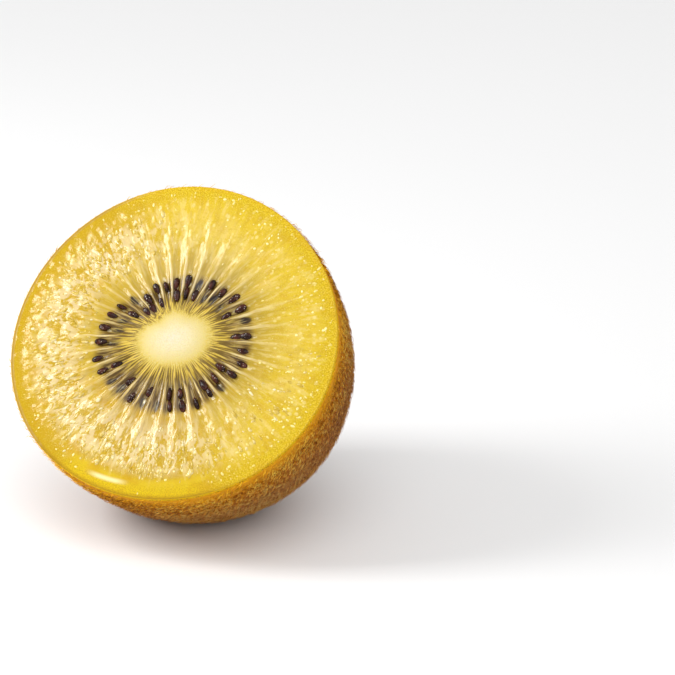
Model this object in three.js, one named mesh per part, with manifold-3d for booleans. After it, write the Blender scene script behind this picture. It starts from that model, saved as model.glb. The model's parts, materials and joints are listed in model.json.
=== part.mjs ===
// Half of a golden kiwi fruit, cut across its middle and lying on its side, as a cut half comes to rest.
// Units are millimetres and +Z is up. The origin is the centre of the small flat spot that it rests on.
// The fruit's own frame has its origin at the middle of the cut, +Z out of the cut face and +Y up it.
import * as THREE from "three";
import { mergeVertices } from "three/addons/utils/BufferGeometryUtils.js";
import Module from "manifold-3d";

const wasm = await Module();
wasm.setup();

// Driving dimensions of the fruit
const EQUATOR_RADIUS = 27.0;
const HALF_LENGTH = 35.0;
const BARREL_POWER = 2.4; // 2 is an ellipsoid, and more is squarer in the shoulder
const LEAN_DEG = 40.0; // how far the cut face looks up from the horizontal
const FLAT_SPOT_DEPTH = 0.4; // how much the flesh gives where the fruit rests

// The cut's outline is not quite round: an oval and a three-sided term, each a share of the radius
const OVAL_SHARE = 0.014;
const OVAL_DEG = 166.2;
const THREE_SIDED_SHARE = 0.0083;
const THREE_SIDED_DEG = 93.4;

// Skin, and the gap that keeps it a separate piece from the flesh
const SKIN_THICKNESS = 0.8;
const SKIN_TO_FLESH_GAP = 0.3;
const SKIN_EDGE_BELOW_CUT = 0.15;
const STEM_END_THICKENING = 1.3;
const STEM_END_THICKENING_RADIUS = 7.5;

// Stem scar on the far end: a groove, torn sepals, a raised collar and a hollow
const SCAR_GROOVE_RADIUS = 5.9;
const SCAR_GROOVE_WIDTH = 0.75;
const SCAR_GROOVE_DEPTH = 0.8;
const SEPAL_COUNT = 5;
const SEPAL_RADIUS = 4.5;
const SEPAL_WIDTH = 0.9;
const SEPAL_HEIGHT = 0.35;
const SCAR_COLLAR_RADIUS = 2.9;
const SCAR_COLLAR_WIDTH = 0.8;
const SCAR_COLLAR_HEIGHT = 0.75;
const SCAR_HOLLOW_RADIUS = 1.4;
const SCAR_HOLLOW_DEPTH = 0.9;

// Core, locules and seeds on the cut face
const CORE_LONG = 6.6;
const CORE_SHORT = 4.9;
const CORE_TURN_DEG = 8.4;
const CORE_CENTRE_Y = 0.55;
const CORE_RISE = 0.3;
const LOCULE_COUNT = 32;
const LOCULE_ZONE = 0.5; // where the locules end, as a share of the outline's radius
const LOCULE_SINK = 0.4;
const SEPTUM_RISE = 0.3;
const FACE_EDGE_ROUND = 0.35;
const SEED_RING_LONG = 12.2;
const SEED_RING_SHORT = 10.8;
const SEED_RING_TURN_DEG = 10.0;
const SEED_RING_RISE = 0.38; // how far above the axis the locules' rays meet
const SEED_RING_SAG = 0.65; // how much further out the seeds are below than at the sides
// Where the ring of seeds is drawn in, beside the core's waist
const SEED_RING_DENT = 1.8;
const SEED_RING_DENT_DEG = 137;
const SEED_RING_DENT_WIDTH_DEG = 24;
const SEED_ROW_STEP = 2.15;
const SEED_LENGTH = 2.05;
const SEED_WIDTH = 1.2;
const SEED_THICKNESS = 1.0;
const SEED_TAPER = 0.28;
const SEED_HEIGHT = -0.28; // of the lowest seeds' middles, above the cut
const INNER_SEED_SINK = 0.1;
const INNER_SEED_SHARE = 0.72;
// How much the seeds differ: the full spread of each
const SEED_SPREAD = {
  slot: 0.28,
  outerRadius: 1.1,
  innerRadius: 0.66,
  height: 0.32,
  heading: 0.3,
  pitch: 0.3,
};
const SEED_SMALLEST = 0.92;
const SEED_SIZE_SPREAD = 0.2;

// Fineness of the meshes
const SKIN_SEGMENTS = 72;
const SKIN_OUTER_RINGS = 11;
const SKIN_OUTER_LAST_TURN = 0.83; // where the rings of the stem scar take over
const SKIN_INNER_RINGS = 7;
const SCAR_RING_RADII = [1.0, 1.9, 2.9, 3.8, 4.6, 5.3, 5.9, 6.6, 7.6];
const FLESH_SEGMENTS = LOCULE_COUNT * 4;
const FLESH_BACK_RINGS = 5;
const SEED_SIDES = 7;
const SEED_RINGS = 5;
// Rings of the cut face: 1 is the outline, 0 the core's edge and -1 the core's middle
const FACE_SHARES = [0.96, 0.86, 0.72, 0.58, 0.45, 0.32, 0.2, 0.1, 0, -0.15, -0.6, -1];

// Fineness of the search for the lowest point of the fruit's side
const SCAN_TURN_STEP = 0.002;
const SCAN_ANGLE_STEP = 0.01;

const SKIN_COLOUR = 0x9a6a3a;
const FLESH_COLOUR = new THREE.Color(0xe8c63a);
const CORE_COLOUR = new THREE.Color(0xf6efc4);
const SEED_COLOUR = new THREE.Color(0x2a1512);

const radians = THREE.MathUtils.degToRad;
const clamp = THREE.MathUtils.clamp;
const smooth = THREE.MathUtils.smoothstep;
const hump = (distance, width) => Math.exp(-((distance / width) ** 2));

// A repeatable draw from 0 to 1 for the item and the purpose given.
function draw(item, purpose) {
  const wave = Math.sin(item * 12.9898 + purpose * 78.233) * 43758.5453;
  return wave - Math.floor(wave);
}

// How much wider than a circle the fruit is, looking at the cut, at an angle round its axis.
function outline(angle) {
  const oval = OVAL_SHARE * Math.cos(2 * (angle - radians(OVAL_DEG)));
  const threeSided = THREE_SIDED_SHARE * Math.cos(3 * (angle - radians(THREE_SIDED_DEG)));
  return 1 + oval + threeSided;
}

// The fruit's side as (radius, height), a depth under its surface. Turn 0 is the cut and 1 the stem end.
function side(turn, depth) {
  const angle = (turn * Math.PI) / 2;
  const across = Math.cos(angle) ** (2 / BARREL_POWER);
  const along = Math.sin(angle) ** (2 / BARREL_POWER);
  const normal = new THREE.Vector2(
    across ** (BARREL_POWER - 1) / EQUATOR_RADIUS,
    -(along ** (BARREL_POWER - 1)) / HALF_LENGTH,
  ).normalize();
  const point = new THREE.Vector2(EQUATOR_RADIUS * across, -HALF_LENGTH * along);
  point.addScaledVector(normal, -depth);
  return turn === 1 ? point.setX(0) : point;
}

// Depth under the outer surface of the skin's inner face, which is thicker at the woody stem end.
function skinDepth(turn) {
  const radius = side(turn, 0).x;
  return SKIN_THICKNESS + STEM_END_THICKENING * hump(radius, STEM_END_THICKENING_RADIUS);
}

// How far the stem scar stands out of the fruit's end at a point given by its radius and angle.
function stemScar(radius, angle) {
  const torn = 1 + 0.35 * Math.cos(SEPAL_COUNT * angle) + 0.15 * Math.cos(3 * angle + 1);
  const groove = -SCAR_GROOVE_DEPTH * hump(radius - SCAR_GROOVE_RADIUS, SCAR_GROOVE_WIDTH);
  const sepals = SEPAL_HEIGHT * torn * hump(radius - SEPAL_RADIUS, SEPAL_WIDTH);
  const collarHeight = SCAR_COLLAR_HEIGHT * (0.8 + 0.2 * torn);
  const collar = collarHeight * hump(radius - SCAR_COLLAR_RADIUS, SCAR_COLLAR_WIDTH);
  const hollow = -SCAR_HOLLOW_DEPTH * hump(radius, SCAR_HOLLOW_RADIUS);
  return groove + sepals + collar + hollow;
}

// Radius of an ellipse that is turned in its plane, at an angle.
function ellipseRadius(long, short, turnDeg, angle) {
  const local = angle - radians(turnDeg);
  return (long * short) / Math.hypot(short * Math.cos(local), long * Math.sin(local));
}

// Height of the cut face. Share is 0 at the core's edge, 1 at the outline and negative inside the core.
function faceHeight(share, angle) {
  const ray = Math.cos(LOCULE_COUNT * angle);
  const inLocules = smooth(share, 0, 0.12) * (1 - smooth(share, LOCULE_ZONE - 0.15, LOCULE_ZONE + 0.1));
  const rays = smooth(share, 0, 0.1) * (1 - smooth(share, 0.45, 0.95));
  const core = CORE_RISE * (1 - smooth(share, -0.6, 0.1));
  const edge = -FACE_EDGE_ROUND * smooth(share, 0.9, 1);
  return core + edge - LOCULE_SINK * inLocules * (0.5 + 0.5 * ray) - SEPTUM_RISE * 0.5 * rays * ray;
}

// Moves each vertex of a geometry, which the function given changes in place.
function reshape(geometry, move) {
  const position = geometry.getAttribute("position");
  const vertex = new THREE.Vector3();
  for (let i = 0; i < position.count; i += 1) {
    vertex.fromBufferAttribute(position, i);
    move(vertex, i);
    position.setXYZ(i, vertex.x, vertex.y, vertex.z);
  }
  return geometry;
}

// A closed geometry as a solid: shared vertices merged, and triangles that closed up at a pole dropped.
function solidOf(geometry) {
  const bare = new THREE.BufferGeometry();
  bare.setAttribute("position", geometry.getAttribute("position"));
  bare.setIndex(geometry.getIndex());
  const merged = mergeVertices(bare, 1e-4);
  const corners = merged.getIndex().array;
  const kept = [];
  for (let i = 0; i < corners.length; i += 3) {
    const [a, b, c] = corners.slice(i, i + 3);
    if (a !== b && b !== c && c !== a) kept.push(a, b, c);
  }
  return new wasm.Manifold(
    new wasm.Mesh({
      numProp: 3,
      vertProperties: merged.getAttribute("position").array,
      triVerts: new Uint32Array(kept),
    }),
  );
}

function geometryOf(solid) {
  const { vertProperties, triVerts } = solid.getMesh();
  const geometry = new THREE.BufferGeometry();
  geometry.setAttribute("position", new THREE.BufferAttribute(new Float32Array(vertProperties), 3));
  geometry.setIndex(new THREE.BufferAttribute(new Uint32Array(triVerts), 1));
  return geometry;
}

// Turns a profile of (radius, height) round the fruit's axis, Z. Vertices run along the profile first.
function turned(profile, segments) {
  return new THREE.LatheGeometry(profile, segments).rotateX(Math.PI / 2);
}

// The outer side's point at a small radius near the stem end.
function sideAtRadius(radius) {
  const along = (1 - (radius / EQUATOR_RADIUS) ** BARREL_POWER) ** (1 / BARREL_POWER);
  return new THREE.Vector2(radius, -HALF_LENGTH * along);
}

// Skin: a thin cup from the cut round to the stem end, with the stem scar on its outside
function makeSkin() {
  const outer = [side(1, 0), ...SCAR_RING_RADII.map(sideAtRadius)];
  for (let i = SKIN_OUTER_RINGS; i >= 0; i -= 1) {
    outer.push(side((SKIN_OUTER_LAST_TURN * i) / SKIN_OUTER_RINGS, 0));
  }
  const inner = [];
  for (let i = 0; i <= SKIN_INNER_RINGS; i += 1) {
    const turn = i / SKIN_INNER_RINGS;
    inner.push(side(turn, skinDepth(turn)));
  }
  outer[outer.length - 1].y = -SKIN_EDGE_BELOW_CUT;
  inner[0].y = -SKIN_EDGE_BELOW_CUT;
  const rows = outer.length + inner.length;
  const geometry = turned([...outer, ...inner], SKIN_SEGMENTS);
  reshape(geometry, (vertex, number) => {
    const radius = Math.hypot(vertex.x, vertex.y);
    const angle = Math.atan2(vertex.y, vertex.x);
    const onOutside = number % rows < outer.length;
    if (onOutside && vertex.z < -HALF_LENGTH / 2) vertex.z -= stemScar(radius, angle);
    vertex.x *= outline(angle);
    vertex.y *= outline(angle);
  });
  return solidOf(geometry);
}

// Flesh: fills the skin, with the core, the septa and the locules as relief on its cut face
function makeFlesh() {
  const profile = [];
  for (let i = FLESH_BACK_RINGS; i >= 0; i -= 1) {
    const turn = i / FLESH_BACK_RINGS;
    profile.push(side(turn, skinDepth(turn) + SKIN_TO_FLESH_GAP));
  }
  const edge = profile[profile.length - 1];
  const backRows = profile.length;
  for (const share of FACE_SHARES) profile.push(new THREE.Vector2((edge.x * (1 + share)) / 2, 0));
  const rows = profile.length;
  const geometry = turned(profile, FLESH_SEGMENTS);
  reshape(geometry, (vertex, number) => {
    const row = number % rows;
    const angle = (Math.floor(number / rows) / FLESH_SEGMENTS) * 2 * Math.PI;
    const outlineRadius = edge.x * outline(angle);
    if (row < backRows) {
      const radius = Math.hypot(vertex.x, vertex.y) * outline(angle);
      const height = row === backRows - 1 ? faceHeight(1, angle) : vertex.z;
      vertex.set(radius * Math.cos(angle), radius * Math.sin(angle), height);
    } else {
      const share = FACE_SHARES[row - backRows];
      const core = ellipseRadius(CORE_LONG, CORE_SHORT, CORE_TURN_DEG, angle);
      const radius = share < 0 ? core * (1 + share) : core + (outlineRadius - core) * share;
      const rise = CORE_CENTRE_Y * (1 - clamp(share, 0, 1));
      vertex.set(radius * Math.cos(angle), radius * Math.sin(angle) + rise, faceHeight(share, angle));
    }
  });
  return solidOf(geometry);
}

// One seed: a flattened drop that points at the core, at its place and turn on the cut face.
function makeSeed(seed) {
  const drop = new THREE.SphereGeometry(1, SEED_SIDES, SEED_RINGS).rotateZ(Math.PI / 2);
  reshape(drop, (vertex) => {
    const narrowing = 1 + SEED_TAPER * vertex.x;
    vertex.set(
      (vertex.x * SEED_LENGTH * seed.scale) / 2,
      (vertex.y * SEED_WIDTH * seed.scale * narrowing) / 2,
      (vertex.z * SEED_THICKNESS * seed.scale * narrowing) / 2,
    );
  });
  drop.rotateY(seed.pitch).rotateZ(seed.heading);
  drop.translate(seed.x, seed.y, seed.height);
  return solidOf(drop);
}

// Radius of the ring of outer seeds at an angle from 0 to a full turn.
function seedRingRadius(angle) {
  const ring = ellipseRadius(SEED_RING_LONG, SEED_RING_SHORT, SEED_RING_TURN_DEG, angle);
  const dent = SEED_RING_DENT * hump(angle - radians(SEED_RING_DENT_DEG), radians(SEED_RING_DENT_WIDTH_DEG));
  return ring - SEED_RING_SAG * Math.sin(angle) - dent;
}

// Places of the seeds: two rows in each locule, the inner one not always cut through.
function seedPlaces() {
  const places = [];
  for (let locule = 0; locule < LOCULE_COUNT; locule += 1) {
    for (const row of [0, 1]) {
      const item = 2 * locule + row;
      if (row === 1 && draw(item, 1) > INNER_SEED_SHARE) continue;
      const slot = locule + SEED_SPREAD.slot * (draw(item, 2) - 0.5);
      const angle = (slot / LOCULE_COUNT) * 2 * Math.PI;
      const ring = seedRingRadius(angle);
      const spread = row === 0 ? SEED_SPREAD.outerRadius : SEED_SPREAD.innerRadius;
      const radius = ring - SEED_ROW_STEP * row + spread * (draw(item, 3) - 0.5);
      places.push({
        x: radius * Math.cos(angle),
        y: radius * Math.sin(angle) + SEED_RING_RISE,
        height: SEED_HEIGHT + SEED_SPREAD.height * draw(item, 4) - INNER_SEED_SINK * row,
        heading: angle + SEED_SPREAD.heading * (draw(item, 5) - 0.5),
        pitch: SEED_SPREAD.pitch * (draw(item, 6) - 0.5),
        scale: SEED_SMALLEST + SEED_SIZE_SPREAD * draw(item, 7),
      });
    }
  }
  return places;
}

// Colours a geometry triangle by triangle: cream core, gold flesh and dark seeds.
function colourCutFace(geometry, seeds) {
  const open = geometry.toNonIndexed();
  const position = open.getAttribute("position");
  const colours = new Float32Array(position.count * 3);
  const middle = new THREE.Vector3();
  const corner = new THREE.Vector3();
  for (let i = 0; i < position.count; i += 3) {
    middle.set(0, 0, 0);
    for (let j = 0; j < 3; j += 1) {
      middle.addScaledVector(corner.fromBufferAttribute(position, i + j), 1 / 3);
    }
    const fromCore = Math.hypot(middle.x / CORE_LONG, (middle.y - CORE_CENTRE_Y) / CORE_SHORT);
    const onSeed = seeds.some((seed) => isOnSeed(seed, middle));
    const inCore = fromCore < 1 && middle.z > -1;
    const colour = onSeed ? SEED_COLOUR : inCore ? CORE_COLOUR : FLESH_COLOUR;
    for (let j = 0; j < 3; j += 1) colour.toArray(colours, (i + j) * 3);
  }
  open.setAttribute("color", new THREE.BufferAttribute(colours, 3));
  open.computeVertexNormals();
  return open;
}

// Whether a point of the cut face lies on the surface of a seed that stands out of it.
function isOnSeed(seed, point) {
  const away = new THREE.Vector2(point.x - seed.x, point.y - seed.y);
  away.rotateAround(new THREE.Vector2(), -seed.heading);
  const flat = Math.hypot((2 * away.x) / SEED_LENGTH, (2 * away.y) / SEED_WIDTH) / seed.scale;
  return flat < 1.05 && point.z > seed.height - 0.05;
}

// The fruit's own frame, turned to lie on its side with its lowest point over the origin.
function layOnSide(fruit) {
  fruit.rotation.x = radians(90 - LEAN_DEG);
  fruit.updateMatrixWorld(true);
  const lowest = new THREE.Vector3(0, 0, Infinity);
  const point = new THREE.Vector3();
  for (let turn = 0; turn <= 1; turn += SCAN_TURN_STEP) {
    const { x: radius, y: height } = side(turn, 0);
    for (let angle = 0; angle < 2 * Math.PI; angle += SCAN_ANGLE_STEP) {
      const wide = radius * outline(angle);
      point.set(wide * Math.cos(angle), wide * Math.sin(angle), height).applyMatrix4(fruit.matrixWorld);
      if (point.z < lowest.z) lowest.copy(point);
    }
  }
  fruit.position.set(-lowest.x, -lowest.y, -lowest.z - FLAT_SPOT_DEPTH);
  fruit.updateMatrixWorld(true);
}

// What lies under the surface that the fruit rests on, as a solid in the fruit's own frame.
function belowSurface(fruit) {
  const slab = new THREE.BoxGeometry(4 * HALF_LENGTH, 4 * HALF_LENGTH, HALF_LENGTH);
  slab.translate(0, 0, -HALF_LENGTH / 2).applyMatrix4(fruit.matrixWorld.clone().invert());
  return solidOf(slab);
}

const halfFruit = new THREE.Group();
layOnSide(halfFruit);

const skinSolid = makeSkin().subtract(belowSurface(halfFruit));
const skin = new THREE.Mesh(
  geometryOf(skinSolid),
  new THREE.MeshStandardMaterial({ color: SKIN_COLOUR, roughness: 0.85, metalness: 0, flatShading: true }),
);
skin.name = "skin";

const seeds = seedPlaces();
const fleshSolid = wasm.Manifold.union([makeFlesh(), ...seeds.map(makeSeed)]);
const flesh = new THREE.Mesh(
  colourCutFace(geometryOf(fleshSolid), seeds),
  new THREE.MeshStandardMaterial({ vertexColors: true, roughness: 0.3, metalness: 0, flatShading: true }),
);
flesh.name = "flesh";

halfFruit.add(skin, flesh);

export default halfFruit;
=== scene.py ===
"""Half of a golden kiwi fruit lying on its side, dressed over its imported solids.

The fruit is shaped in its own frame, in millimetres: the origin is the middle of the cut, +Z looks out of
the cut face and +Y runs up across it. Each piece is then laid on its side and turned into metres.
"""

import json
import math

import bpy
import numpy as np
from mathutils import Matrix, Vector, noise

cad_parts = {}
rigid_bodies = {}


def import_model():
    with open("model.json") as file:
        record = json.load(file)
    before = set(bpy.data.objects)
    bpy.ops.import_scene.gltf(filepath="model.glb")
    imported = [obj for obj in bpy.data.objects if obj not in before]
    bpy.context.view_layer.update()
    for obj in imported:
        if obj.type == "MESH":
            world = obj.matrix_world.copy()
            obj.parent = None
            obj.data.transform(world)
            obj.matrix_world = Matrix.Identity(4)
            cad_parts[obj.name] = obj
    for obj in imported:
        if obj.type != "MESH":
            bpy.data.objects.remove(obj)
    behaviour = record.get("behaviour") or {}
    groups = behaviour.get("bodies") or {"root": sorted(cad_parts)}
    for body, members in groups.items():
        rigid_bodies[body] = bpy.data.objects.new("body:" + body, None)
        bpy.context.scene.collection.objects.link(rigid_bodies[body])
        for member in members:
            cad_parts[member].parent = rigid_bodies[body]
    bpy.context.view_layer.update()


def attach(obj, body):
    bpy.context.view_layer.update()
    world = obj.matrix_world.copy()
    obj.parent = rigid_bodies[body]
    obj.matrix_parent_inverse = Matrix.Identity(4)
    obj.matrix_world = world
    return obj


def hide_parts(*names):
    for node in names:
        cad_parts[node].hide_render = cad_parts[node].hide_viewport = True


# Driving dimensions, the same as the solids have
EQUATOR_RADIUS = 27.0
HALF_LENGTH = 35.0
BARREL_POWER = 2.4
LEAN_DEG = 40.0
FLAT_SPOT_DEPTH = 0.4
OVAL_SHARE = 0.014
OVAL_DEG = 166.2
THREE_SIDED_SHARE = 0.0083
THREE_SIDED_DEG = 93.4

# Stem scar
GROOVE_RADIUS = 5.9
GROOVE_WIDTH = 0.75
GROOVE_DEPTH = 0.8
SEPAL_RADIUS = 4.5
SEPAL_WIDTH = 0.9
SEPAL_HEIGHT = 0.35
COLLAR_RADIUS = 2.9
COLLAR_WIDTH = 0.8
COLLAR_HEIGHT = 0.75
HOLLOW_RADIUS = 1.4
HOLLOW_DEPTH = 0.9

# Core, locules and seeds
CORE_LONG = 6.6
CORE_SHORT = 4.9
CORE_TURN_DEG = 8.4
CORE_CENTRE_Y = 0.55
CORE_RISE = 0.3
LOCULE_COUNT = 32
LOCULE_ZONE = 0.5
LOCULE_SINK = 0.4
SEPTUM_RISE = 0.3
SEED_RING_LONG = 12.2
SEED_RING_SHORT = 10.8
SEED_RING_TURN_DEG = 10.0
SEED_RING_RISE = 0.38
SEED_RING_SAG = 0.65
SEED_RING_DENT = 1.8
SEED_RING_DENT_DEG = 137
SEED_RING_DENT_WIDTH_DEG = 24
SEED_ROW_STEP = 2.15
SEED_LENGTH = 2.05
SEED_WIDTH = 1.2
SEED_THICKNESS = 1.0
SEED_TAPER = 0.28
SEED_HEIGHT = -0.28
INNER_SEED_SINK = 0.1
INNER_SEED_SHARE = 0.72

# What only the dressed fruit shows
SKIN_THICKNESS = 0.1
SKIN_EDGE_BELOW_CUT = 0.1
FACE_SEGMENTS = LOCULE_COUNT * 20
EDGE_ROUND = 0.02
CORE_PALE_RADIUS = 5.6
CORE_PALE_OVAL = 0.75
CORE_PALE_TURN_DEG = 10
# Place and width in degrees, and depth
CORE_PALE_DENTS = ((146, 26, 1.4), (68, 20, 0.7))
# Radius where the juice film starts and is full, and how far it reaches round from straight below
POOL_START = 22.7
POOL_FULL = 24.1
POOL_FULL_DEG = 22
POOL_END_DEG = 36
BEAD_TRIES = 4600
PULP_TRIES = 7500
SEPAL_COUNT = 13
STEM_FIBRE_COUNT = 110
# In radians, and in metres over the surface that the fruit rests on
HAIR_TILT = 0.25
LOWEST_HAIR = 0.00002
DEEP_SEED_SHARE = 0.42
# On the right, where the pulp is cut clean, fewer seeds lie deep
CLEAN_SIDE_COSINE = 0.75
CLEAN_DEEP_SHARE = 0.147
ROLLED_SEED_SHARE = 0.3
# Width and thickness of the shown seeds, as shares of the solid ones'
SHOWN_SEED_WIDTH = 0.86
SHOWN_SEED_THICKNESS = 0.7

# Relief of the dressed cut: the solids' own relief by a share, and what lies over it
SOLID_RELIEF_SHARE = 0.6
CORE_DOME_RISE = 0.12
SEED_PIT_DEPTH = 0.12
GEL_RISE = 0.1
CELL_RISE = 0.08
LUMP_RISE = 0.04
STREAK_RISE = 0.05
CORE_LUMP_RISE = 0.02

# The photograph's view: azimuth, elevation, distance in metres, and the lens and its aim in pixels
VIEW_AZIMUTH_DEG = 23.1
VIEW_ELEVATION_DEG = 20.0
VIEW_DISTANCE = 0.5
PICTURE_WIDTH = 675
FOCAL_PIXELS = 3140.5
AIM_RIGHT_PIXELS = -164.637
AIM_UP_PIXELS = -3.757

# The studio, in metres, watts for the key light and radians for the sun's spread
KEY_DISTANCE = 0.3
KEY_SIZE = (0.11, 0.18)
KEY_POWER = 0.75
SUN_STRENGTH = 1.35
SUN_ANGLE = 1.1
SKY_STRENGTH = 0.6
FLOOR_REACH = 3


# The fruit's form


def hump(distance, width):
    return np.exp(-((distance / width) ** 2))


def smooth(value, low, high):
    t = np.clip((value - low) / (high - low), 0, 1)
    return t * t * (3 - 2 * t)


def draw(item, purpose):
    """A repeatable draw from 0 to 1 for the item and the purpose given."""
    wave = math.sin(item * 12.9898 + purpose * 78.233) * 43758.5453
    return wave - math.floor(wave)


def outline(angle):
    """How much wider than a circle the fruit is at an angle round its axis."""
    oval = OVAL_SHARE * np.cos(2 * (angle - math.radians(OVAL_DEG)))
    return 1 + oval + THREE_SIDED_SHARE * np.cos(3 * (angle - math.radians(THREE_SIDED_DEG)))


def side(turn, depth=0.0):
    """Radius and height of the fruit's side, from the cut at turn 0 to the stem end at turn 1."""
    angle = np.asarray(turn, float) * math.pi / 2
    across = np.maximum(np.cos(angle), 0) ** (2 / BARREL_POWER)
    along = np.maximum(np.sin(angle), 0) ** (2 / BARREL_POWER)
    nx = across ** (BARREL_POWER - 1) / EQUATOR_RADIUS
    nz = -(along ** (BARREL_POWER - 1)) / HALF_LENGTH
    length = np.hypot(nx, nz)
    return EQUATOR_RADIUS * across - depth * nx / length, -HALF_LENGTH * along - depth * nz / length


def ellipse_radius(long, short, turn_deg, angle):
    local = angle - math.radians(turn_deg)
    return long * short / np.hypot(short * np.cos(local), long * np.sin(local))


def stem_scar(radius, angle):
    """How far the stem scar stands out of the far end."""
    torn = 1 + 0.35 * np.cos(5 * angle) + 0.15 * np.cos(3 * angle + 1)
    groove = -GROOVE_DEPTH * hump(radius - GROOVE_RADIUS, GROOVE_WIDTH)
    sepals = SEPAL_HEIGHT * torn * hump(radius - SEPAL_RADIUS, SEPAL_WIDTH)
    collar = COLLAR_HEIGHT * (0.8 + 0.2 * torn) * hump(radius - COLLAR_RADIUS, COLLAR_WIDTH)
    return groove + sepals + collar - HOLLOW_DEPTH * hump(radius, HOLLOW_RADIUS)


def laid_on_side():
    """The turn and shift that lay the fruit on its side, its lowest point over the origin."""
    turn = Matrix.Rotation(math.radians(90 - LEAN_DEG), 3, "X")
    turns, angles = np.meshgrid(np.arange(0, 1.0001, 0.002), np.arange(0, 2 * math.pi, 0.01))
    radius, height = side(turns.ravel())
    wide = radius * outline(angles.ravel())
    points = np.stack([wide * np.cos(angles.ravel()), wide * np.sin(angles.ravel()), height], 1)
    points = points @ np.array(turn).T
    lowest = points[points[:, 2].argmin()]
    return np.array(turn), np.array([-lowest[0], -lowest[1], -lowest[2] - FLAT_SPOT_DEPTH])


TURN, SHIFT = laid_on_side()


def in_place(points):
    """Points of the fruit's own frame, in millimetres, as points of the row's frame, in metres."""
    placed = np.asarray(points, float) @ TURN.T + SHIFT
    placed[:, 2] = np.maximum(placed[:, 2], 0)
    return placed / 1000


def rough(points, scale, octaves=1):
    """Noise from -1 to 1 at each point, for features of a size given in the points' own units."""
    scaled = (np.asarray(points, float) / scale).tolist()
    total = np.array([noise.noise(p) for p in scaled])
    for octave in range(1, octaves):
        finer = (np.asarray(scaled) * 2**octave + 17.3 * octave).tolist()
        total += np.array([noise.noise(p) for p in finer]) / 2**octave
    return total


# Seeds


def seed_ring_radius(angle):
    """Radius of the ring of outer seeds: wider below, and drawn in beside the core's waist."""
    ring = ellipse_radius(SEED_RING_LONG, SEED_RING_SHORT, SEED_RING_TURN_DEG, angle)
    dent = hump(angle - math.radians(SEED_RING_DENT_DEG), math.radians(SEED_RING_DENT_WIDTH_DEG))
    return ring - SEED_RING_SAG * np.sin(angle) - SEED_RING_DENT * dent


def seed_places():
    """Two rows of seeds in each locule, the inner one not always cut through."""
    places = []
    for locule in range(LOCULE_COUNT):
        for row in (0, 1):
            item = 2 * locule + row
            if row == 1 and draw(item, 1) > INNER_SEED_SHARE:
                continue
            angle = (locule + 0.28 * (draw(item, 2) - 0.5)) / LOCULE_COUNT * 2 * math.pi
            ring = seed_ring_radius(angle)
            spread = 1.1 if row == 0 else 0.66
            deep_share = CLEAN_DEEP_SHARE if math.cos(angle) > CLEAN_SIDE_COSINE else DEEP_SEED_SHARE
            radius = ring - SEED_ROW_STEP * row + spread * (draw(item, 3) - 0.5)
            places.append(
                {
                    "x": radius * math.cos(angle),
                    "y": radius * math.sin(angle) + SEED_RING_RISE,
                    "height": SEED_HEIGHT + 0.32 * draw(item, 4) - INNER_SEED_SINK * row,
                    "heading": angle + 0.3 * (draw(item, 5) - 0.5),
                    "pitch": 0.3 * (draw(item, 6) - 0.5),
                    "scale": 0.92 + 0.2 * draw(item, 7),
                    "roll": 1.2 if draw(item, 9) < ROLLED_SEED_SHARE else 0.4 * (draw(item, 10) - 0.5),
                    "deep": draw(item, 8) < deep_share,
                }
            )
    return places


SEEDS = seed_places()


# Cut face


def face_height(share, angle):
    """Height of the cut face: share is 0 at the core's edge, 1 at the skin and negative in the core."""
    ray = np.cos(LOCULE_COUNT * angle)
    in_locules = smooth(share, 0, 0.12) * (1 - smooth(share, LOCULE_ZONE - 0.15, LOCULE_ZONE + 0.1))
    rays = smooth(share, 0, 0.1) * (1 - smooth(share, 0.45, 0.95))
    core = CORE_RISE * (1 - smooth(share, -0.6, 0.1))
    return core - LOCULE_SINK * in_locules * (0.5 + 0.5 * ray) - SEPTUM_RISE * 0.5 * rays * ray


def juice_pool(x, y):
    """Where juice lies smooth over the pulp: a band inside the lower rim."""
    away = angle_between(np.arctan2(y, x), -90)
    radius = np.hypot(x, y)
    below = 1 - smooth(away, math.radians(POOL_FULL_DEG), math.radians(POOL_END_DEG))
    return smooth(radius, POOL_START, POOL_FULL) * below


def face_grid():
    """Shares of the rings and angles of the spokes of the cut face."""
    core = np.linspace(-0.94, 0, 17)
    inner = np.linspace(0, 0.5, 50)[1:]
    outer = np.linspace(0.5, 1, 50)[1:-1]
    shares = np.concatenate([core, inner, outer, [0.996, 1]])
    angles = np.arange(FACE_SEGMENTS) / FACE_SEGMENTS * 2 * math.pi
    return np.meshgrid(shares, angles, indexing="ij")


def from_seed(seed, x, y):
    """How far a place is from a seed, along the seed and across it."""
    dx, dy = x - seed["x"], y - seed["y"]
    cos, sin = math.cos(seed["heading"]), math.sin(seed["heading"])
    return dx * cos + dy * sin, dy * cos - dx * sin


def angle_between(angle, degrees):
    """How far an angle is from one given in degrees, either way round."""
    return np.abs((angle - math.radians(degrees) + math.pi) % (2 * math.pi) - math.pi)


def seed_shade(x, y):
    """How near a seed is: the pulp is darker and greyer round it, and over one that lies deep."""
    near = np.zeros_like(x)
    deep = np.zeros_like(x)
    for seed in SEEDS:
        along, across = from_seed(seed, x, y)
        near = np.maximum(near, hump(np.hypot((along + 0.85) / 1.25, across / 0.8), 0.95))
        if seed["deep"]:
            size = seed["scale"] * 0.5
            flat = np.hypot(along / (SEED_LENGTH * size), across / (SEED_WIDTH * size * 0.8))
            deep = np.maximum(deep, 1 - smooth(flat, 0.7, 1.1))
    return near, deep


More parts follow.
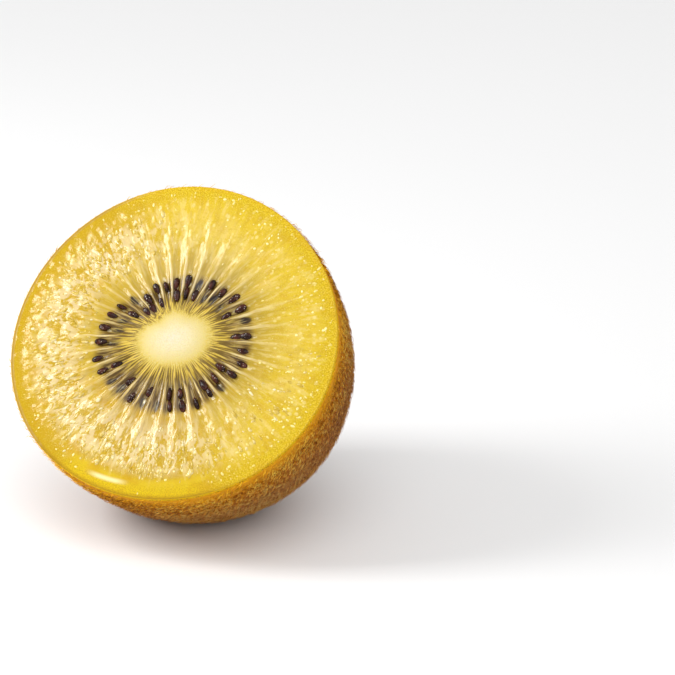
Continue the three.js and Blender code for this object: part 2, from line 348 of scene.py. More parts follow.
def core_share(x, y):
    """How far out in the cream core a place is: 0 in its middle and 1 at its lobed edge."""
    angle = np.arctan2(y - CORE_CENTRE_Y, x)
    edge = CORE_PALE_RADIUS + CORE_PALE_OVAL * np.cos(2 * (angle - math.radians(CORE_PALE_TURN_DEG)))
    for place, width, depth in CORE_PALE_DENTS:
        edge = edge - depth * hump(angle_between(angle, place), math.radians(width))
    return np.hypot(x, y - CORE_CENTRE_Y) / edge


def torn_side(x, y):
    """How torn the pulp is: most on the side where the knife went in, least opposite."""
    return 0.25 + 0.75 * smooth((-0.85 * x - 0.5 * y) / EQUATOR_RADIUS, -0.6, 0.35)


def gel_shoulders(x, y):
    """Small wet swellings where the gel closes over the outer end of each seed."""
    swell = np.zeros_like(x)
    for number, seed in enumerate(SEEDS):
        reach = 1.45 + 0.4 * draw(number, 12)
        along, across = from_seed(seed, x, y)
        near = hump(np.hypot((along - reach) / 1.6, across), 0.36)
        swell = np.maximum(swell, near * (0.4 + draw(number, 13)))
    return swell


def revolved(name, rings, poles):
    """A closed mesh from rings of points: the first pole's face looks along +Z."""
    count, around = rings.shape[:2]
    points = np.concatenate([rings.reshape(-1, 3), poles])
    row = np.arange(count - 1)[:, None] * around
    spoke = np.arange(around)[None, :]
    after = (spoke + 1) % around
    quads = np.stack([row + spoke, row + around + spoke, row + around + after, row + after], -1)
    first, last = count * around, count * around + 1
    start = [(first, s, (s + 1) % around) for s in range(around)]
    base = (count - 1) * around
    end = [(last, base + (s + 1) % around, base + s) for s in range(around)]
    mesh = bpy.data.meshes.new(name)
    mesh.from_pydata(points.tolist(), [], quads.reshape(-1, 4).tolist() + start + end)
    return mesh, points


def give(mesh, name, values):
    """Stores a number or a vector for each vertex."""
    values = np.asarray(values, np.float32)
    kind = "FLOAT" if values.ndim == 1 else "FLOAT_VECTOR"
    attribute = mesh.attributes.new(name, kind, "POINT")
    attribute.data.foreach_set("value" if values.ndim == 1 else "vector", values.ravel())


def set_points(mesh, points):
    mesh.vertices.foreach_set("co", points.astype(np.float32).ravel())


def points_of(mesh):
    points = np.zeros(len(mesh.vertices) * 3, np.float32)
    mesh.vertices.foreach_get("co", points)
    return points.reshape(-1, 3)


def add_object(name, data):
    """A new object of the scene for a mesh, a lamp or a camera."""
    made = bpy.data.objects.new(name, data)
    bpy.context.scene.collection.objects.link(made)
    return made


def finished(mesh, material):
    """An object for a mesh that is in its place, shaded smooth."""
    made = add_object(mesh.name, mesh)
    mesh.materials.clear()
    mesh.materials.append(material)
    mesh.shade_smooth()
    mesh.update()
    return made


def make_cut_flesh(material):
    """The flesh, with the core, septa, seed pits and pulp as relief on its cut face."""
    share, angle = face_grid()
    core = ellipse_radius(CORE_LONG, CORE_SHORT, CORE_TURN_DEG, angle)
    edge = (EQUATOR_RADIUS - SKIN_THICKNESS) * outline(angle)
    radius = np.where(share < 0, core * (1 + share), core + (edge - core) * share)
    x = radius * np.cos(angle)
    y = radius * np.sin(angle) + CORE_CENTRE_Y * (1 - np.clip(share, 0, 1))
    near, deep = seed_shade(x, y)
    pool = juice_pool(x, y)

    height = SOLID_RELIEF_SHARE * face_height(share, angle)
    height += CORE_DOME_RISE * (1 - smooth(share, -0.6, 0.1))
    height -= EDGE_ROUND * smooth(share, 0.97, 1) ** 2
    height -= SEED_PIT_DEPTH * near
    gel = gel_shoulders(x, y)
    height += GEL_RISE * gel
    spokes = np.stack([np.cos(angle) * 26, np.sin(angle) * 26, radius * 0.8], -1).reshape(-1, 3)
    cells = rough(spokes, 1.0).reshape(share.shape)
    streaks = rough(spokes * [2.1, 2.1, 0.45], 1.0).reshape(share.shape)
    lumps = rough(np.stack([x, y, x * 0], -1).reshape(-1, 3), 1.1, 2).reshape(share.shape)
    pulp = smooth(share, 0.1, 0.45) * (1 - 0.55 * smooth(share, 0.86, 0.95))
    torn = torn_side(x, y)
    height += (CELL_RISE * cells + LUMP_RISE * lumps) * torn * pulp * (1 - 0.95 * pool)
    streaky = smooth(share, 0, 0.06) * (1 - smooth(share, 0.5, 0.9))
    height += STREAK_RISE * streaks * streaky * (1 - pool)
    height += CORE_LUMP_RISE * lumps * (1 - smooth(share, -0.3, 0))

    face = np.stack([x, y, height], -1)
    turns = np.array([0.012, 0.03, 0.07, 0.15, 0.3, 0.5, 0.7, 0.85, 0.93])
    back_radius, back_height = side(turns, SKIN_THICKNESS + 0.6 * smooth(turns, 0.01, 0.06))
    around = outline(angle[:1])
    back = np.stack(
        [
            back_radius[:, None] * around * np.cos(angle[:1]),
            back_radius[:, None] * around * np.sin(angle[:1]),
            np.broadcast_to(back_height[:, None], (len(turns), angle.shape[1])),
        ],
        -1,
    )
    rings = np.concatenate([face, back])
    poles = np.array([[0, CORE_CENTRE_Y, height[0].mean()], [0, 0, 2 - HALF_LENGTH]])
    mesh, points = revolved("cut_flesh", rings, poles)
    rows = len(turns) * angle.shape[1]
    give(mesh, "fruit", points)
    spoke = np.stack([np.cos(angle), np.sin(angle), share], -1).reshape(-1, 3)
    one_back_row = np.stack([np.cos(angle[0]), np.sin(angle[0]), np.ones(FACE_SEGMENTS)], -1)
    back_spoke = np.tile(one_back_row, (len(turns), 1))
    give(mesh, "spoke", np.concatenate([spoke, back_spoke, [[1, 0, -1], [1, 0, 1]]]))
    none = np.zeros(rows + 2)
    shades = {"seed_near": near, "seed_deep": deep, "pool": pool, "torn": torn, "gel": gel}
    for name, values in shades.items():
        give(mesh, name, np.concatenate([values.ravel(), none]))
    give(mesh, "heart", np.concatenate([core_share(x, y).ravel(), none[2:] + 4, [0, 4]]))
    outside = np.hypot(x, y - SEED_RING_RISE) - seed_ring_radius(np.arctan2(y - SEED_RING_RISE, x))
    give(mesh, "outside", np.concatenate([outside.ravel(), none[2:] + 9, [-9, 9]]))
    set_points(mesh, in_place(points))
    return finished(mesh, material), face


# Formulas in node trees


class Num:
    """A number that a node tree works out, so that a formula is written as one."""

    def __init__(self, socket):
        self.socket = socket
        self.tree = socket.id_data

    def work(self, operation, *others):
        node = self.tree.nodes.new("ShaderNodeMath")
        node.operation = operation
        for socket, value in zip(node.inputs, (self, *others)):
            feed(socket, value)
        return Num(node.outputs[0])

    def __add__(self, other):
        return self.work("ADD", other)

    def __mul__(self, other):
        return self.work("MULTIPLY", other)

    def __sub__(self, other):
        return self.work("SUBTRACT", other)

    def __pow__(self, other):
        return self.work("POWER", other)

    def __rsub__(self, other):
        return (self * -1) + other

    def __truediv__(self, other):
        return self.work("DIVIDE", other)

    def __rtruediv__(self, other):
        return self.work("POWER", -1.0) * other

    __radd__ = __add__
    __rmul__ = __mul__

    def step(self, low, high):
        """0 below low, 1 above high and smooth between them."""
        node = self.tree.nodes.new("ShaderNodeMapRange")
        node.interpolation_type = "SMOOTHSTEP"
        if low > high:
            node.inputs["To Min"].default_value = 1.0
            node.inputs["To Max"].default_value = 0.0
            low, high = high, low
        feed(node.inputs["Value"], self)
        node.inputs["From Min"].default_value = low
        node.inputs["From Max"].default_value = high
        return Num(node.outputs["Result"])


def feed(socket, value):
    """Links a socket to what makes its value, or sets it."""
    if isinstance(value, Num):
        value = value.socket
    if isinstance(value, bpy.types.NodeSocket):
        socket.id_data.links.new(value, socket)
    else:
        socket.default_value = value


def put(tree, kind, inputs=None, **settings):
    """A new node with its settings and inputs."""
    node = tree.nodes.new(kind)
    for name, value in settings.items():
        setattr(node, name, value)
    for name, value in (inputs or {}).items():
        feed(node.inputs[name], value)
    return node


def read(tree, name):
    """A stored value of the mesh, as a vector socket and as a number."""
    node = put(tree, "ShaderNodeAttribute", attribute_name=name)
    return node.outputs["Vector"], Num(node.outputs["Fac"])


def split(vector):
    parts = put(vector.id_data, "ShaderNodeSeparateXYZ", {"Vector": vector}).outputs
    return [Num(part) for part in parts]


def joined(x, y, z):
    return put(x.tree, "ShaderNodeCombineXYZ", {"X": x, "Y": y, "Z": z}).outputs[0]


def grain(vector, scale, detail=2.0, roughness=0.5, distortion=0.0):
    """Noise from 0 to 1."""
    sizes = {"Vector": vector, "Scale": scale, "Detail": detail, "Roughness": roughness}
    sizes["Distortion"] = distortion
    return Num(put(vector.id_data, "ShaderNodeTexNoise", sizes).outputs["Fac"])


def cells_of(vector, scale):
    """Distance to the nearest of the points strewn at a scale."""
    node = put(vector.id_data, "ShaderNodeTexVoronoi", {"Vector": vector, "Scale": scale})
    return Num(node.outputs["Distance"])


def own_place(tree):
    """The place in the piece's own frame, in metres."""
    return put(tree, "ShaderNodeTexCoord").outputs["Object"]


def spoked(across, up, share, round_count, out_count):
    """A place on the cut measured round it and outwards, for grain drawn out along the spokes."""
    return joined(across * round_count, up * round_count, share * out_count)


def blend(share, below, above, how="MIX"):
    """One colour over another by a share."""
    node = put(below.id_data, "ShaderNodeMix", data_type="RGBA", blend_type=how)
    feed(node.inputs[0], share)
    for socket, colour in ((node.inputs[6], below), (node.inputs[7], above)):
        feed(socket, colour if not isinstance(colour, tuple) else (*colour, 1.0))
    return node.outputs[2]


def layered(colour, layers):
    """Colours laid over a first one in turn, each by a share."""
    for share, above in layers:
        colour = blend(share, colour, above)
    return colour


def ramp(value, stops):
    """A colour for each place along a value from 0 to 1."""
    node = put(value.tree, "ShaderNodeValToRGB", {"Fac": value})
    elements = node.color_ramp.elements
    for _ in stops[2:]:
        elements.new(0.5)
    for element, (place, colour) in zip(elements, stops):
        element.position = place
        element.color = (*colour, 1.0)
    return node.outputs["Color"]


def new_material(name, settings):
    """A material with its shader's constant values set, and its tree."""
    material = bpy.data.materials.new(name)
    material.use_nodes = True
    tree = material.node_tree
    shader = tree.nodes["Principled BSDF"]
    for socket, value in settings.items():
        shader.inputs[socket].default_value = value
    return material, tree, shader


def raise_relief(shader, height, distance, strength):
    inputs = {"Height": height, "Distance": distance, "Strength": strength}
    bump = put(shader.id_data, "ShaderNodeBump", inputs)
    feed(shader.inputs["Normal"], bump.outputs[0])


# Finishes


def flesh_material():
    """Wet gold flesh: cream core, olive locules, pale rays and pulp, painted glints and highlights, and a
    deeper rim.
    """
    material, tree, shader = new_material(
        "wet_gold_flesh",
        {
            "IOR": 1.43,
            "Subsurface Weight": 0.15,
            "Subsurface Scale": 0.0007,
            "Subsurface Radius": (1.0, 0.62, 0.12),
        },
    )
    spoke, _ = read(tree, "spoke")
    across, up, share = split(spoke)
    fruit, _ = read(tree, "fruit")
    stored = ("seed_near", "seed_deep", "pool", "torn", "gel", "heart", "outside")
    near, deep, pool, torn, gel, heart, outside = (read(tree, name)[1] for name in stored)
    angle = up.work("ARCTAN2", across)

    fan = spoked(across, up, share, 24, 17)
    fine_fan = spoked(across, up, share, 46, 8)
    patches = grain(fruit, 0.28, 2)
    mottle = grain(fruit, 2.2, 3)
    sugar = grain(fruit, 4.5, 2)
    cells = grain(fan, 0.82, 2.5, 0.55, 0.5)
    blotches = grain(fruit, 0.4, 1)
    domes = 1 - cells_of(fan, 0.72) ** 2
    small_domes = 1 - cells_of(fan, 1.7) ** 2
    fibres = grain(fine_fan, 1.0, 1.5)
    veins = grain(spoked(across, up, share, 22, 6), 1.0, 2, 0.55, 0.3)
    teeth = grain(spoked(across, up, share, 36, 7), 1.0, 1)
    broad_rays = grain(spoked(across, up, share, 7, 1.5), 1.0, 1)
    milk = grain(spoked(across, up, share, 5, 5), 1.0, 1)

    # From the core's edge to the skin
    place = share + (patches - 0.5) * 0.06 + (mottle - 0.5) * 0.03
    colour = ramp(
        place,
        [
            (0.0, (0.38, 0.245, 0.018)),
            (0.2, (0.42, 0.272, 0.030)),
            (0.34, (0.46, 0.31, 0.026)),
            (0.48, (0.52, 0.355, 0.020)),
            (0.62, (0.58, 0.405, 0.022)),
            (0.80, (0.61, 0.425, 0.020)),
            (0.90, (0.60, 0.42, 0.010)),
            (0.955, (0.62, 0.44, 0.003)),
            (1.0, (0.64, 0.42, 0.001)),
        ],
    )

    # Where each of the colours over it lies
    calm_side = torn.step(0.75, 0.3) * share.step(0.62, 0.3)
    dry = 1 - pool
    low = up.step(-0.55, -0.9)
    begins = share.step(0.36, 0.6).work("MAXIMUM", share.step(0.1, 0.3) * low)
    shaded = torn.step(0.4, 1.0) * begins * dry * (share.step(1.0, 0.9) * 0.5 + 0.5)
    wobble = (grain(fan, 0.35, 1) - 0.5) * 1.8
    ray = (angle * LOCULE_COUNT + wobble).work("COSINE") * -1
    strength = broad_rays.step(0.32, 0.62) * 0.75 + 0.2
    septum = ray.step(0.82, 0.98) * strength * share.step(0.75, 0.15) * heart.step(1.4, 1.9)
    between_rays = 1 - septum
    fibre = fibres.step(0.52, 0.62) * share.step(0.8, 0.15) * heart.step(1.3, 1.8)
    locule = heart.step(1.15, 1.7) * (outside - torn.step(0.9, 0.3) * 0.4 - low * 0.5).step(1.3, -0.5)
    hollows = fibres.step(0.53, 0.45) * locule * between_rays
    halo = near * between_rays * (fibres.step(0.58, 0.46) * 0.8 + 0.1)
    spread = (torn - 0.6) * 0.18 + (blotches - 0.5) * 0.3
    streaky = share.step(0.3, 0.45) * share.step(0.97, 0.88) * (1 - pool * 0.8)
    # Painted glints: pale cream marks on the torn pulp that stand in for reflections of the key light
    painted_glints = (cells + spread).step(0.50, 0.59) * share.step(0.34, 0.58) * share.step(0.88, 0.72)
    wells = patches.step(0.52, 0.7) * share.step(0.25, 0.5) * (1 - painted_glints)
    # Where the pulp is cut clean, opposite the torn side, between the seeds and the rim
    calm = torn.step(0.9, 0.4) * share.step(0.35, 0.55) * share.step(0.92, 0.75)
    # Pale specks, more on the clean side: partly the pulp's own pale dots and partly painted sparkle of wet
    # droplets
    pale_specks_and_sparkle = cells_of(fan, 0.95).step(0.36, 0.16) * blotches.step(0.42, 0.58) * streaky
    sandy = share.step(0.3, 0.6) * dry * (1 - painted_glints)
    grainy_rim = sugar.step(0.55, 0.38) * share.step(0.86, 0.95)
    far_rim = share.step(0.88, 1.0) * torn.step(0.7, 1.0) * dry
    # Painted highlight: a reflection on the juice film inside the lower rim
    juice_highlight = pool.step(0.75, 0.95) * painted_juice_highlight(fruit)

    # The core and the comb of fine lines round it
    lobed = heart + (sugar - 0.5) * 0.2 + (0.5 - teeth) * heart.step(0.7, 1.05) * 0.6
    core = ramp(
        lobed * 0.5,
        [
            (0.0, (0.67, 0.61, 0.45)),
            (0.22, (0.66, 0.575, 0.33)),
            (0.40, (0.62, 0.50, 0.17)),
            (0.48, (0.55, 0.405, 0.06)),
            (0.54, (0.47, 0.32, 0.020)),
            (0.66, (0.42, 0.27, 0.012)),
        ],
    )
    comb = teeth.step(0.54, 0.46) * heart.step(0.9, 1.15) * heart.step(1.75, 1.35)
    tines = teeth.step(0.53, 0.58) * heart.step(0.95, 1.15) * heart.step(1.85, 1.4)

    # From the first laid to the last
    layers = [
        (calm_side * 0.5, (0.36, 0.245, 0.03)),
        (shaded * 0.72, (0.43, 0.25, 0.003)),
        (locule * between_rays * (patches * 0.6 + 0.5), (0.19, 0.110, 0.024)),
        (hollows * 0.75, (0.06, 0.030, 0.008)),
        (halo * (mottle * 0.7 + 0.15), (0.095, 0.052, 0.012)),
        (deep * (mottle * 0.5 + 0.65), (0.016, 0.009, 0.010)),
        (fibre * 0.35, (0.58, 0.46, 0.18)),
        (septum * (fibres * 0.9 + 0.3) * (1 - low * 0.5), (0.70, 0.58, 0.31)),
        # Pale gel beyond the outer end of each seed, with a painted highlight on its wet swelling
        (gel.step(0.35, 1.1) * mottle.step(0.38, 0.55) * 0.75, (0.76, 0.66, 0.40)),
        (veins.step(0.53, 0.64) * streaky * 0.34, (0.74, 0.60, 0.24)),
        (veins.step(0.47, 0.36) * streaky * 0.36, (0.44, 0.265, 0.005)),
        # Painted glints on the torn pulp
        (painted_glints * dry * torn.step(0.1, 1.1) * 0.42, (0.85, 0.745, 0.51)),
        (wells * (torn * 0.35 + 0.2), (0.50, 0.27, 0.003)),
        (milk.step(0.4, 0.62) * calm * 0.3, (0.66, 0.50, 0.13)),
        # Pale specks, partly painted sparkle
        (pale_specks_and_sparkle * 0.45 * torn.step(1.2, 0.3), (0.80, 0.70, 0.32)),
        (mottle.step(0.5, 0.34) * sandy * 0.3, (0.44, 0.27, 0.005)),
        (sugar.step(0.52, 0.66) * sandy * 0.22, (0.80, 0.66, 0.20)),
        (grainy_rim * 0.75, (0.42, 0.25, 0.002)),
        (far_rim * 0.6, (0.44, 0.265, 0.0005)),
        (share.step(0.965, 0.998) * torn.step(0.5, 1.0) * 0.6, (0.26, 0.13, 0.001)),
        # Painted highlight on the juice film
        (juice_highlight * 0.75, (0.85, 0.78, 0.42)),
        (lobed.step(1.45, 1.15), core),
        (comb * 0.85, (0.12, 0.068, 0.003)),
        (tines * 0.6, (0.64, 0.46, 0.06)),
        (sugar.step(0.6, 0.3) * 0.35 * lobed.step(1.4, 0.9), (0.55, 0.42, 0.12)),
    ]
    colour = layered(colour, layers)
    feed(shader.inputs["Base Color"], colour)
    wet = mottle * 0.12 + 0.08 - pool * 0.06
    clean_rim = share.step(0.86, 0.96) * torn.step(0.5, 0.9)
    edge = share.step(0.972, 0.99) * clean_rim * (1 - low) * dry
    wet = wet * (1 - clean_rim * 0.75) + heart.step(1.9, 1.2) * 0.45 + edge * 0.6
    feed(shader.inputs["Roughness"], wet)

    ruffled = torn * (blotches.step(0.3, 0.6) * 0.7 + 0.3) * share.step(0.3, 0.56) * share.step(0.92, 0.72)
    relief = (domes.step(0.1, 1.05) * 0.66 + small_domes * 0.04) * ruffled * (1 - low * 0.3)
    relief = relief + small_domes * 0.14 * torn * share.step(0.62, 0.85) * share.step(0.95, 0.86)
    relief = relief + fibres * (0.16 - low * 0.07) * share.step(0.7, 0.3) * heart.step(1.0, 1.4)
    relief = relief * (1 - pool * 0.97)
    relief = relief + sugar * (heart.step(1.4, 0.9) * 0.25 + 0.09) * dry * (1 - clean_rim * 0.8)
    raise_relief(shader, relief, 0.00022, 0.9)
    return material


def painted_juice_highlight(fruit):
    """A painted highlight: a long thin line of reflection on the juice film, inside the lower rim."""
    x, y, _ = split(fruit)
    radius = (x * x + y * y).work("SQRT")
    angle = y.work("ARCTAN2", x) + math.radians(101)
    thin = ((radius - 24.5) * 1.5 + angle * 2.5).work("ABSOLUTE")
    return thin.step(0.9, 0.1) * angle.work("ABSOLUTE").step(0.17, 0.05)


def painted_light_by_depth(depth):
    """Painted light and shade on the skin, by depth below the cut in millimetres: lighter near the cut,
    where the flesh lends it light, and darker further down.
    """
    return ramp(
        depth * 0.05,
        [
            (0.0, (1.0, 1.0, 0.7)),
            (0.18, (1.0, 0.98, 0.8)),
            (0.35, (0.84, 0.76, 0.85)),
            (0.6, (0.70, 0.61, 0.8)),
            (1.0, (0.78, 0.70, 0.9)),
        ],
    )


def skin_material():
    """Thin brown skin, mottled and matt, with orange light painted where it meets the cut and painted shade
    further from it.
    """
    material, tree, shader = new_material(
        "brown_kiwi_skin",
        {
            "Roughness": 0.75,
            "Specular IOR Level": 0.15,
            "Subsurface Weight": 0.05,
            "Subsurface Scale": 0.001,
        },
    )
    fruit, _ = read(tree, "fruit")
    fruit_x, fruit_y, fruit_z = split(fruit)
    broad = grain(fruit, 0.09, 3)
    mottle = grain(fruit, 0.9, 4, 0.6)
    specks = cells_of(fruit, 1.1).step(0.3, 0.08)
    fine = grain(fruit, 4.0, 3)
    colour = ramp(
        mottle * 0.7 + broad * 0.3,
        [(0.3, (0.20, 0.058, 0.003)), (0.5, (0.38, 0.125, 0.005)), (0.7, (0.56, 0.21, 0.010))],
    )
    # Painted light: the skin orange where it meets the cut, as if lit through the flesh
    near_cut = (fruit_z + (mottle - 0.5) * 2.6).step(-5.5, -1.0)
    edge = fruit_z.step(-0.9, -0.25)
    scorched = fruit_z.step(-0.9, -0.35) * fruit_z.step(-0.1, -0.3) * fine.step(0.5, 0.62)
    from_axis = (fruit_x * fruit_x + fruit_y * fruit_y).work("SQRT") + (mottle - 0.5) * 1.2
    far_end = fruit_z.step(-25.0, -28.0)
    groove = from_axis.step(5.0, 5.7) * from_axis.step(6.8, 6.1) * far_end

    # From the first laid to the last
    layers = [
        (specks * 0.45, (0.07, 0.022, 0.004)),
        (near_cut * 0.9, (0.66, 0.29, 0.003)),
        (edge * 0.9, (0.68, 0.42, 0.003)),
        (scorched * 0.8, (0.14, 0.045, 0.006)),
        (from_axis.step(7.2, 5.6) * far_end * 0.8, (0.19, 0.095, 0.035)),
        (groove * 0.75, (0.05, 0.022, 0.008)),
        (fruit_z.step(-6.0, -13.0) * 0.3, (0.45, 0.22, 0.06)),
    ]
    colour = layered(colour, layers)
    # Painted light and shade by depth below the cut
    colour = blend(1.0, colour, painted_light_by_depth(fruit_z * -1), "MULTIPLY")
    feed(shader.inputs["Base Color"], colour)
    raise_relief(shader, mottle * 0.6 + fine * 0.4 + specks * 0.3, 0.00025, 0.7)
    return material


def seed_material():
    """Shiny near-black seed with a red-brown cast, a pitted coat and pale specks, partly dried gel and
    partly painted highlights.
    """
    material, tree, shader = new_material(
        "dark_seed", {"IOR": 1.45, "Specular IOR Level": 0.25, "Roughness": 0.12}
    )
    place = own_place(tree)
    tone = grain(place, 900, 3)
    pits = cells_of(place, 4200)
    colour = ramp(
        tone,
        [(0.35, (0.010, 0.002, 0.001)), (0.52, (0.032, 0.007, 0.004)), (0.68, (0.08, 0.019, 0.010))],
    )
    # Pale specks on the seeds: partly dried gel and partly painted highlights of the wet coat
    residue_and_glints = cells_of(place, 2600).step(0.26, 0.12) * grain(place, 600, 1).step(0.45, 0.6)
    colour = blend(residue_and_glints * 0.7, colour, (0.60, 0.52, 0.42))
    feed(shader.inputs["Base Color"], colour)
    raise_relief(shader, pits, 0.00006, 0.6)
    return material


def fuzz_material():
    """Golden-brown hairs, paler and darker by turns, with orange light painted near the cut and painted
    shade further down.
    """
    material, tree, shader = new_material("golden_fuzz", {"Roughness": 0.8, "Specular IOR Level": 0.05})
    place = own_place(tree)
    _, row_y, row_z = split(place)
    # Depth below the cut, from the place in the row's frame
    out_y, out_z = 1000 * float(TURN[1, 2]), 1000 * float(TURN[2, 2])
    depth = row_y * -out_y - row_z * out_z + float(SHIFT @ TURN[:, 2])
    tone = grain(place, 1500, 2) * 0.7 + grain(place, 80, 2) * 0.3
    colour = ramp(
        tone, [(0.39, (0.20, 0.06, 0.003)), (0.5, (0.84, 0.34, 0.015)), (0.59, (1.0, 0.74, 0.14))]
    )
    layers = [
        # Painted light: the hairs orange near the cut, as if lit through the flesh
        (depth.step(4.0, 0.5) * 0.6, (1.0, 0.55, 0.01)),
        (depth.step(6.0, 13.0) * 0.35, (0.88, 0.50, 0.16)),
    ]
    colour = layered(colour, layers)
    # Painted light and shade by depth below the cut
    colour = blend(1.0, colour, painted_light_by_depth(depth), "MULTIPLY")
    feed(shader.inputs["Base Color"], colour)
    return material


def bead_material():
    """Tiny beads of juice, pale gold and shiny."""
    material, tree, shader = new_material("juice_bead", {"Roughness": 0.2, "IOR": 1.45})
    place = own_place(tree)
    tone = grain(place, 300, 2)
    colour = ramp(tone, [(0.35, (0.68, 0.50, 0.07)), (0.65, (0.86, 0.76, 0.34))])
    feed(shader.inputs["Base Color"], colour)
    return material


def pulp_material():
    """Torn juice sacs, cream where the pulp is thick and gold where it's clear."""
    material, tree, shader = new_material("torn_pulp", {"Roughness": 0.16, "IOR": 1.48})
    place = own_place(tree)
    tone = grain(place, 450, 2) * 0.6 + grain(place, 1500, 2) * 0.4
    colour = ramp(
        tone, [(0.4, (0.47, 0.30, 0.008)), (0.52, (0.58, 0.42, 0.08)), (0.64, (0.78, 0.69, 0.42))]
    )
    feed(shader.inputs["Base Color"], colour)
    return material


def scar_material():
    """Dry corky stem end: grey-brown flakes with dark cracks."""
    material, tree, shader = new_material("dry_stem_scar", {"Roughness": 0.85, "IOR": 1.45})
    place = own_place(tree)
    tone = grain(place, 500, 4, 0.65)
    threads = grain(place, 2600, 3)
    colour = ramp(
        tone, [(0.35, (0.06, 0.03, 0.014)), (0.5, (0.22, 0.12, 0.05)), (0.65, (0.46, 0.29, 0.14))]
    )
    feed(shader.inputs["Base Color"], colour)
    raise_relief(shader, tone * 0.6 + threads * 0.4, 0.0003, 0.8)
    return material


# Trees that strew what repeats


def new_tree(name, sizes, counts=(), pattern=True):
    """A geometry tree with named inputs for its sizes, its whole numbers and its material."""
    tree = bpy.data.node_groups.new(name, "GeometryNodeTree")
    face = tree.interface
    face.new_socket("Geometry", in_out="INPUT", socket_type="NodeSocketGeometry")
    for label in sizes:
        face.new_socket(label, in_out="INPUT", socket_type="NodeSocketFloat")
    for label in counts:
        face.new_socket(label, in_out="INPUT", socket_type="NodeSocketInt")
    if pattern:
        face.new_socket("Pattern", in_out="INPUT", socket_type="NodeSocketCollection")
    face.new_socket("Material", in_out="INPUT", socket_type="NodeSocketMaterial")
    face.new_socket("Geometry", in_out="OUTPUT", socket_type="NodeSocketGeometry")
    return tree, put(tree, "NodeGroupInput").outputs


def close_tree(tree, given, instances):
    """Ends a tree in real meshes with their material."""
    real = put(tree, "GeometryNodeRealizeInstances", {"Geometry": instances})
    inputs = {"Geometry": real.outputs[0], "Material": given["Material"]}
    dressed = put(tree, "GeometryNodeSetMaterial", inputs)
    feed(put(tree, "NodeGroupOutput").inputs[0], dressed.outputs[0])


def made_by(tree, name, base, values, material):
    """Runs a tree over a base mesh and returns what it makes as a plain mesh piece."""
    host = add_object(name, base)
    modifier = host.modifiers.new("strewn", "NODES")
    modifier.node_group = tree
    values = {**values, "Material": material}
    for item in tree.interface.items_tree:
        if item.in_out == "INPUT" and item.name in values:
            modifier[item.identifier] = values[item.name]
    evaluated = host.evaluated_get(bpy.context.evaluated_depsgraph_get())
    mesh = bpy.data.meshes.new_from_object(evaluated)
    host.modifiers.remove(modifier)
    bpy.data.objects.remove(host)
    mesh.name = name
    return finished(mesh, material)


def copied(tree, points, variants, rotation, size):
    """One of the patterns at each point, turned and sized."""
    copies = put(tree, "GeometryNodeInstanceOnPoints", {"Points": points, "Pick Instance": True})
    feed(copies.inputs["Instance"], variants.outputs[0])
    feed(copies.inputs["Rotation"], rotation.outputs[0])
    feed(copies.inputs["Scale"], size)
    return copies.outputs[0]


def picked_from(tree, given):
    """The patterns of the tree's collection, each by itself."""
    settings = {"Collection": given["Pattern"], "Separate Children": True, "Reset Children": True}
    return put(tree, "GeometryNodeCollectionInfo", settings)


def kept_value(tree, name, kind):
    """A value that each point stores."""
    return put(tree, "GeometryNodeInputNamedAttribute", {"Name": name}, data_type=kind).outputs[0]


def random_between(tree, low, high, seed):
    """A number drawn for each point between two values."""
    node = put(tree, "FunctionNodeRandomValue", {"Seed": seed}, data_type="FLOAT")
    feed(node.inputs[2], low)
    feed(node.inputs[3], high)
    return Num(node.outputs[1])


def fuzz_tree():
    """Hairs strewn over a surface where its hairy value allows, each spun and sized at random."""
    sizes = ["Hairs per square metre", "Shortest", "Longest", "Spin"]
    tree, given = new_tree("strewn_fuzz", sizes, ["Seed"])
    hairy = Num(kept_value(tree, "hairy", "FLOAT"))
    density = hairy * Num(given["Hairs per square metre"])
    surface = {"Mesh": given["Geometry"], "Seed": given["Seed"]}
    strewn = put(tree, "GeometryNodeDistributePointsOnFaces", surface)
    feed(strewn.inputs["Density"], density)
    variants = picked_from(tree, given)
    # Combed round the fruit's axis, and spun off that way by chance
    axis = put(tree, "ShaderNodeCombineXYZ")
    for socket, value in zip(axis.inputs, TURN[:, 2]):
        socket.default_value = value
    round_axis = put(tree, "ShaderNodeVectorMath", operation="CROSS_PRODUCT")
    feed(round_axis.inputs[0], strewn.outputs["Normal"])
    feed(round_axis.inputs[1], axis.outputs[0])
    combed = put(tree, "FunctionNodeAlignRotationToVector", axis="X", pivot_axis="Z")
    feed(combed.inputs["Rotation"], strewn.outputs["Rotation"])
    feed(combed.inputs["Vector"], round_axis.outputs[0])
    spin = random_between(tree, Num(given["Spin"]) * -1, given["Spin"], given["Seed"])
    tilt = random_between(tree, -HAIR_TILT, HAIR_TILT, 5)
    euler = joined(tilt, 0.0, spin)
    turn = put(tree, "FunctionNodeEulerToRotation", {0: euler})
    turned = put(tree, "FunctionNodeRotateRotation", rotation_space="LOCAL")
    feed(turned.inputs[0], combed.outputs[0])
    feed(turned.inputs[1], turn.outputs[0])
    size = random_between(tree, given["Shortest"], given["Longest"], 9)
    copies = copied(tree, strewn.outputs["Points"], variants, turned, size)
    close_tree(tree, given, copies)
    return tree


def placed_tree():
    """One pattern at each point of a mesh, with the turn and size that the point stores."""
    tree, given = new_tree("placed_pattern", ["Size"])
    points = put(tree, "GeometryNodeMeshToPoints", {"Mesh": given["Geometry"]})
    variants = picked_from(tree, given)
    turn = kept_value(tree, "turn", "FLOAT_VECTOR")
    euler = put(tree, "FunctionNodeEulerToRotation", {0: turn})
    size = Num(kept_value(tree, "size", "FLOAT")) * Num(given["Size"])
    close_tree(tree, given, copied(tree, points.outputs[0], variants, euler, size))
    return tree


